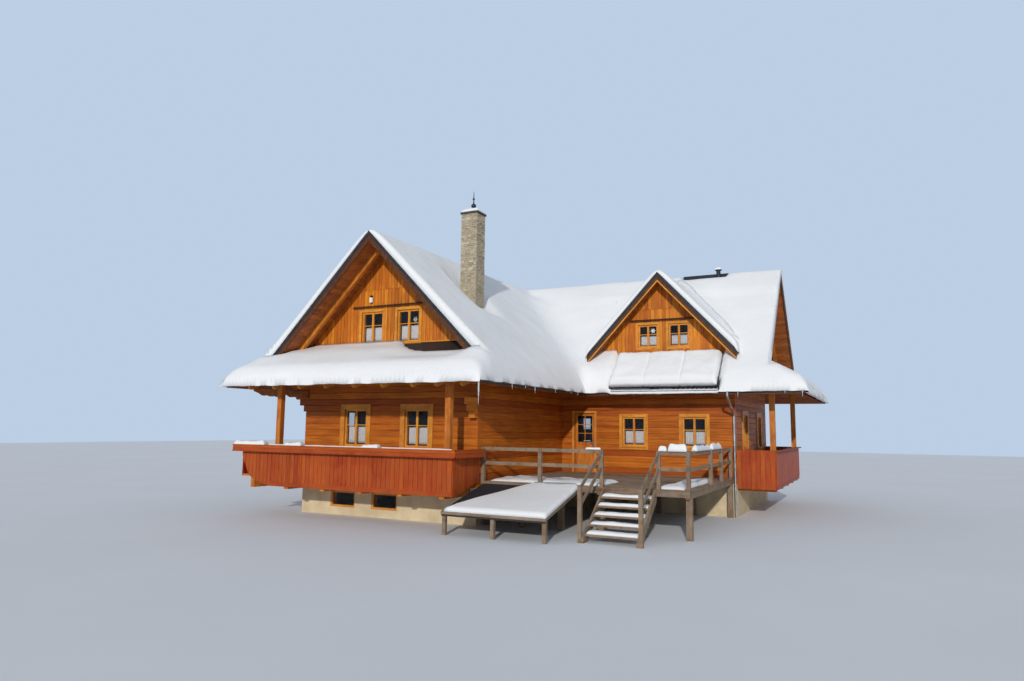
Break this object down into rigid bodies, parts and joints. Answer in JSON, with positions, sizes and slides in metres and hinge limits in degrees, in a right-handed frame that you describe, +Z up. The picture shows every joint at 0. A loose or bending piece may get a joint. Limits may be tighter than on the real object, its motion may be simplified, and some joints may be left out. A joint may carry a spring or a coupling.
{
  "type": "alpine chalet",
  "caption": "Alpine log chalet: L-shaped house with a steep roof, cross gable, aprons over the gable ends, veranda, terrace with stair, and a hinged terrace door.",
  "frame": {"origin": "underside of the front basement wall, on the ridge line of the front wing", "axes": "+X to the right of the front gable, +Y from the front gable to the back, +Z up"},
  "size_m": [16.623, 16.83, 10.8],
  "materials": {
    "roof_covering": "dark bitumen covering",
    "concrete": "rough concrete",
    "trim_wood": "honey stained timber",
    "chimney_stone": "coursed thin stone",
    "dark_metal": "black paint",
    "glass": "clear",
    "handle_metal": "brushed",
    "door_wood": "stained door",
    "gable_boards": "stained boards",
    "gutter_metal": "dull grey",
    "plaster": "rough lime plaster",
    "floor_wood": "matt boards",
    "weathered_wood": "grey weathered boards",
    "parapet_wood": "red-brown stained boards",
    "snow": "settled snow",
    "collector": "dark collector in an aluminium frame",
    "dark_wood": "dark stained boards",
    "log_wood": "stained logs",
    "frame_wood": "stained frame"
  },
  "bodies": {
    "house": {"apron_east": "roof_covering", "apron_front": "roof_covering", "basement_floor": "concrete", "casings": "trim_wood", "chimney": "chimney_stone", "chimney_cap": "dark_metal", "chimney_finial": "dark_metal", "door_hinges": "handle_metal", "dormer_roof_left": "roof_covering", "dormer_roof_right": "roof_covering", "dormer_wall": "gable_boards", "downpipe": "gutter_metal", "eave_beams": "trim_wood", "fly_rafters": "trim_wood", "foundation_cross_walls": "plaster", "foundation_side_walls": "plaster", "gable_east": "gable_boards", "gable_front": "gable_boards", "ground_floor": "floor_wood", "gutters": "gutter_metal", "lean_to_roof": "weathered_wood", "lean_to_supports": "weathered_wood", "parapet_east": "parapet_wood", "parapet_ends": "parapet_wood", "parapet_front": "parapet_wood", "planter": "parapet_wood", "porch_beams": "trim_wood", "porch_floors": "floor_wood", "porch_posts": "trim_wood", "roof_back": "roof_covering", "roof_inner_east": "roof_covering", "roof_terrace": "roof_covering", "roof_vent": "dark_metal", "roof_west": "roof_covering", "snow_aprons": "snow", "snow_cross_gable": "snow", "snow_front_wing": "snow", "snow_main_wing": "snow", "solar_collectors": "collector", "stair_rails": "weathered_wood", "stair_stringers": "weathered_wood", "stair_treads": "weathered_wood", "terrace_deck": "weathered_wood", "terrace_railing": "weathered_wood", "terrace_supports": "weathered_wood", "upper_floor": "floor_wood", "verge_boards": "dark_wood", "wall_back": "log_wood", "wall_beside_door": "log_wood", "wall_east": "log_wood", "wall_front": "log_wood", "wall_inner_east": "log_wood", "wall_over_door": "log_wood", "wall_terrace": "log_wood", "wall_west": "log_wood", "window_frames": "frame_wood", "window_glass": "glass"},
    "door": {"door_leaf": "door_wood", "door_glass": "glass", "door_handle": "handle_metal"}
  },
  "joints": [
    {"name": "terrace_door", "type": "hinge", "parent": "house", "child": "door", "pos_m": [3.793, 6.308, 1.26], "axis": [0, 0, 1], "range_deg": [0, 95]}
  ]
}
